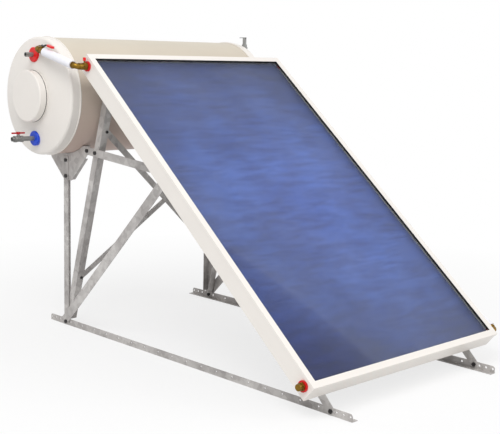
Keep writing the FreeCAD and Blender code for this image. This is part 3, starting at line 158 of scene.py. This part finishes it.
def absorber():
    """Selective coating in navy with faint streaks across, and a painted highlight: lighter and bluer round the
    centre, darker navy towards the corners.
    """
    material, tree, shader = new_material("absorber_blue")
    low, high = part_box("absorber_plate")
    # Centre of the painted highlight on the coating.
    highlight_centre = (low * 0.4 + high * 0.6)
    place = tree.nodes.new("ShaderNodeTexCoord")
    highlight_distance = tree.nodes.new("ShaderNodeVectorMath")
    highlight_distance.operation = "DISTANCE"
    highlight_distance.inputs[1].default_value = (highlight_centre.x, (low.y + high.y) / 2, (low.z + high.z) / 2)
    tree.links.new(place.outputs["Object"], highlight_distance.inputs[0])
    fade = tree.nodes.new("ShaderNodeMapRange")
    fade.inputs["From Min"].default_value = 0.15
    fade.inputs["From Max"].default_value = 1.05
    tree.links.new(highlight_distance.outputs["Value"], fade.inputs["Value"])
    # Painted highlight: lighter blue near the highlight centre, with painted shade falling to navy towards the
    # corners.
    painted_light_base = mix(tree, fade.outputs["Result"], srgb(62, 92, 172), srgb(16, 28, 84))
    streaks = ramp(tree, noise(tree, 9.0, 5.0, 0.6, (0.7, 3.2, 3.2)),
                   [(0.38, (0.62, 0.66, 0.76)), (0.62, (1.22, 1.22, 1.16))])
    patches = ramp(tree, noise(tree, 2.0, 2.0), [(0.38, (0.60, 0.64, 0.76)), (0.60, (1.15, 1.15, 1.10))])
    colour = mix(tree, 1.0, mix(tree, 1.0, painted_light_base, streaks, "MULTIPLY"), patches, "MULTIPLY")
    tree.links.new(colour, shader.inputs["Base Color"])
    shader.inputs["Metallic"].default_value = 0.0
    shader.inputs["Roughness"].default_value = 0.45
    bump(tree, shader, noise(tree, 60.0, 3.0), 0.1, 0.0004)
    return material


def solar_glass():
    """Low-iron glass: clear, with a thin reflection that grows at a slant."""
    material, tree, shader = new_material("solar_glass")
    clear = tree.nodes.new("ShaderNodeBsdfTransparent")
    clear.inputs["Color"].default_value = (0.95, 0.965, 0.98, 1.0)
    sheen = tree.nodes.new("ShaderNodeBsdfGlossy")
    sheen.inputs["Roughness"].default_value = 0.08
    tint = ramp(tree, noise(tree, 3.0), [(0.3, (0.60, 0.66, 0.80)), (0.7, (0.80, 0.84, 0.92))])
    tree.links.new(tint, sheen.inputs["Color"])
    edge = tree.nodes.new("ShaderNodeFresnel")
    edge.inputs["IOR"].default_value = 1.25
    weak = tree.nodes.new("ShaderNodeMath")
    weak.operation = "MULTIPLY"
    weak.inputs[1].default_value = 0.12
    tree.links.new(edge.outputs["Fac"], weak.inputs[0])
    blend = tree.nodes.new("ShaderNodeMixShader")
    tree.links.new(weak.outputs["Value"], blend.inputs["Fac"])
    tree.links.new(clear.outputs["BSDF"], blend.inputs[1])
    tree.links.new(sheen.outputs["BSDF"], blend.inputs[2])
    tree.links.new(blend.outputs["Shader"], tree.nodes["Material Output"].inputs["Surface"])
    tree.nodes.remove(shader)
    return material


def tank_jacket():
    """Painted sheet in warm cream, with painted shade: darker and pinker towards the bottom."""
    material, tree, shader = new_material("tank_cream")
    low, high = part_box("tank_jacket")
    # Painted shade: the colour darkens and turns pinker towards the bottom of the jacket.
    painted_light_base = height_blend(tree, srgb(196, 174, 164), srgb(206, 197, 180), low.z, high.z)
    cloud = ramp(tree, noise(tree, 3.0, 3.0), [(0.3, (0.97, 0.97, 0.97)), (0.7, (1.03, 1.03, 1.03))])
    tree.links.new(mix(tree, 1.0, painted_light_base, cloud, "MULTIPLY"), shader.inputs["Base Color"])
    shader.inputs["Roughness"].default_value = 0.42
    bump(tree, shader, noise(tree, 260.0, 2.0), 0.08, 0.0003)
    return material


materials = {
    "casing_white": speckled("casing_white", srgb(233, 228, 222), 0.02, 4.0, 0.38, coat=0.15),
    "tank_cream": tank_jacket(),
    "galvanised_steel": galvanised(),
    "absorber_blue": absorber(),
    "solar_glass": solar_glass(),
    "black_rubber": speckled("black_rubber", srgb(22, 22, 24), 0.15, 30.0, 0.7),
    "red_rubber": speckled("red_rubber", srgb(208, 6, 10), 0.06, 30.0, 0.5),
    "red_plastic": speckled("red_plastic", srgb(222, 4, 8), 0.05, 25.0, 0.35),
    "blue_plastic": speckled("blue_plastic", srgb(12, 66, 200), 0.05, 25.0, 0.35),
    "red_lever": speckled("red_lever", srgb(176, 4, 14), 0.08, 25.0, 0.4),
    "black_lever": speckled("black_lever", srgb(30, 30, 32), 0.15, 30.0, 0.45),
    "brass": speckled("brass", srgb(128, 98, 32), 0.25, 45.0, 0.36, 0.85),
    "copper": speckled("copper", srgb(190, 112, 82), 0.15, 20.0, 0.35, 0.9),
    "plated_steel": speckled("plated_steel", srgb(148, 148, 146), 0.12, 40.0, 0.35, 0.7),
    "foam": speckled("foam", srgb(222, 204, 150), 0.08, 60.0, 0.9, relief=0.6),
    "mineral_wool": speckled("mineral_wool", srgb(206, 190, 130), 0.15, 50.0, 0.95, relief=0.8),
    "white_lagging": speckled("white_lagging", srgb(236, 236, 242), 0.03, 30.0, 0.75, relief=0.5),
    "enamelled_steel": speckled("enamelled_steel", srgb(70, 80, 96), 0.1, 20.0, 0.25, coat=0.4),
    "back_sheet": speckled("back_sheet", srgb(196, 196, 196), 0.05, 12.0, 0.4, 0.6),
    "dark_fasteners": speckled("dark_fasteners", srgb(58, 56, 56), 0.2, 60.0, 0.4, 0.6),
    "magnesium": speckled("magnesium", srgb(170, 170, 168), 0.1, 30.0, 0.6, 0.6),
    "moulded_black": speckled("moulded_black", srgb(28, 28, 30), 0.12, 30.0, 0.5),
}
slot_of = {entry["node"]: entry["material_slot"] for entry in frame["record"]["subparts"]}
for name, node in nodes.items():
    node.data.materials.clear()
    node.data.materials.append(materials[slot_of[name]])


# Details on the frame

def add_piece(name, slot_name):
    """Gives the new active object its name, the material of the named slot, and its body."""
    piece = bpy.context.object
    piece.name = name
    piece.data.materials.append(materials[slot_name])
    for face in piece.data.polygons:
        face.use_smooth = True
    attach(piece, "root")
    return piece


def ring_on_cap(name, slot_name, node, x, thickness):
    """A thin bead round a round node, where it meets the cap."""
    low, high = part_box(node)
    radius = (high.z - low.z) / 2
    bpy.ops.mesh.primitive_torus_add(
        major_segments=96, minor_segments=10, major_radius=radius, minor_radius=thickness,
        location=(x, (low.y + high.y) / 2, (low.z + high.z) / 2), rotation=(0.0, math.pi / 2, 0.0))
    return add_piece(name, slot_name)


# A dark ring painted where the element cover meets the cap: painted shade in the gap, not a real gasket.
cover_low, cover_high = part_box("element_cover")
gap_shade_x = cover_high.x - 0.0085
ring_on_cap("cover_gap_shade", "black_rubber", "element_cover", gap_shade_x, 0.0016)


# Set: pale floor, white surroundings and soft light

def floor_material():
    """A pale floor that keeps the shadow near the object and fades to plain white further out."""
    material, tree, shader = new_material("floor_pale")
    tint = ramp(tree, noise(tree, 0.4), [(0.3, (0.85, 0.85, 0.85)), (0.7, (0.87, 0.87, 0.87))])
    tree.links.new(tint, shader.inputs["Base Color"])
    shader.inputs["Roughness"].default_value = 0.9
    place = tree.nodes.new("ShaderNodeTexCoord")
    length = tree.nodes.new("ShaderNodeVectorMath")
    length.operation = "LENGTH"
    tree.links.new(place.outputs["Object"], length.inputs[0])
    fade = tree.nodes.new("ShaderNodeMapRange")
    fade.inputs["From Min"].default_value = 1.2
    fade.inputs["From Max"].default_value = 3.2
    fade.inputs["To Min"].default_value = 0.72
    tree.links.new(length.outputs["Value"], fade.inputs["Value"])
    path = tree.nodes.new("ShaderNodeLightPath")
    seen = tree.nodes.new("ShaderNodeMath")
    seen.operation = "MULTIPLY"
    tree.links.new(fade.outputs["Result"], seen.inputs[0])
    tree.links.new(path.outputs["Is Camera Ray"], seen.inputs[1])
    white = tree.nodes.new("ShaderNodeEmission")
    white.inputs["Color"].default_value = (1.0, 1.0, 1.0, 1.0)
    blend = tree.nodes.new("ShaderNodeMixShader")
    tree.links.new(seen.outputs["Value"], blend.inputs["Fac"])
    tree.links.new(shader.outputs["BSDF"], blend.inputs[1])
    tree.links.new(white.outputs["Emission"], blend.inputs[2])
    tree.links.new(blend.outputs["Shader"], tree.nodes["Material Output"].inputs["Surface"])
    return material


bpy.ops.mesh.primitive_plane_add(size=60.0, location=(0.0, 0.0, -0.0005))
floor = bpy.context.object
floor.name = "floor"
floor.data.materials.append(floor_material())

world = bpy.data.worlds.new("surroundings")
scene.world = world
world.use_nodes = True
sky = world.node_tree
background = sky.nodes["Background"]
background.inputs["Color"].default_value = (1.0, 1.0, 1.0, 1.0)
background.inputs["Strength"].default_value = 0.62
bright = sky.nodes.new("ShaderNodeBackground")
bright.inputs["Color"].default_value = (1.0, 1.0, 1.0, 1.0)
path = sky.nodes.new("ShaderNodeLightPath")
seen = path.outputs["Is Camera Ray"]
for ray in ("Is Glossy Ray", "Is Transmission Ray"):
    either = sky.nodes.new("ShaderNodeMath")
    either.operation = "MAXIMUM"
    sky.links.new(seen, either.inputs[0])
    sky.links.new(path.outputs[ray], either.inputs[1])
    seen = either.outputs["Value"]
choice = sky.nodes.new("ShaderNodeMixShader")
sky.links.new(seen, choice.inputs["Fac"])
sky.links.new(background.outputs["Background"], choice.inputs[1])
sky.links.new(bright.outputs["Background"], choice.inputs[2])
sky.links.new(choice.outputs["Shader"], sky.nodes["World Output"].inputs["Surface"])


def area_light(name, place, target, size, power):
    data = bpy.data.lights.new(name, "AREA")
    data.shape = "RECTANGLE"
    data.size = size
    data.size_y = size
    data.energy = power
    light = bpy.data.objects.new(name, data)
    light.location = place
    light.rotation_euler = (Vector(target) - Vector(place)).to_track_quat("-Z", "Y").to_euler()
    scene.collection.objects.link(light)


area_light("key", (-3.5, -2.0, 5.5), (0.0, 0.0, 0.7), 3.5, 210.0)
area_light("fill", (3.0, -5.0, 3.5), (0.0, 0.0, 0.7), 4.0, 90.0)


# Camera

view_azimuth = math.radians(44.32)
view_elevation = math.radians(8.79)
view_roll = math.radians(1.314)
view_place = Vector((-3.4737, -3.4942, 1.3839))
forward = Vector((math.sin(view_azimuth) * math.cos(view_elevation),
                  math.cos(view_azimuth) * math.cos(view_elevation), -math.sin(view_elevation)))
level_right = Vector((math.cos(view_azimuth), -math.sin(view_azimuth), 0.0))
level_up = level_right.cross(forward)
right = level_right * math.cos(view_roll) + level_up * math.sin(view_roll)
up = -level_right * math.sin(view_roll) + level_up * math.cos(view_roll)

camera_data = bpy.data.cameras.new("camera")
camera_data.lens = 75.54
camera_data.sensor_width = 36.0
camera = bpy.data.objects.new("camera", camera_data)
camera.matrix_world = Matrix((
    (right.x, up.x, -forward.x, view_place.x),
    (right.y, up.y, -forward.y, view_place.y),
    (right.z, up.z, -forward.z, view_place.z),
    (0.0, 0.0, 0.0, 1.0)))
scene.collection.objects.link(camera)
scene.camera = camera
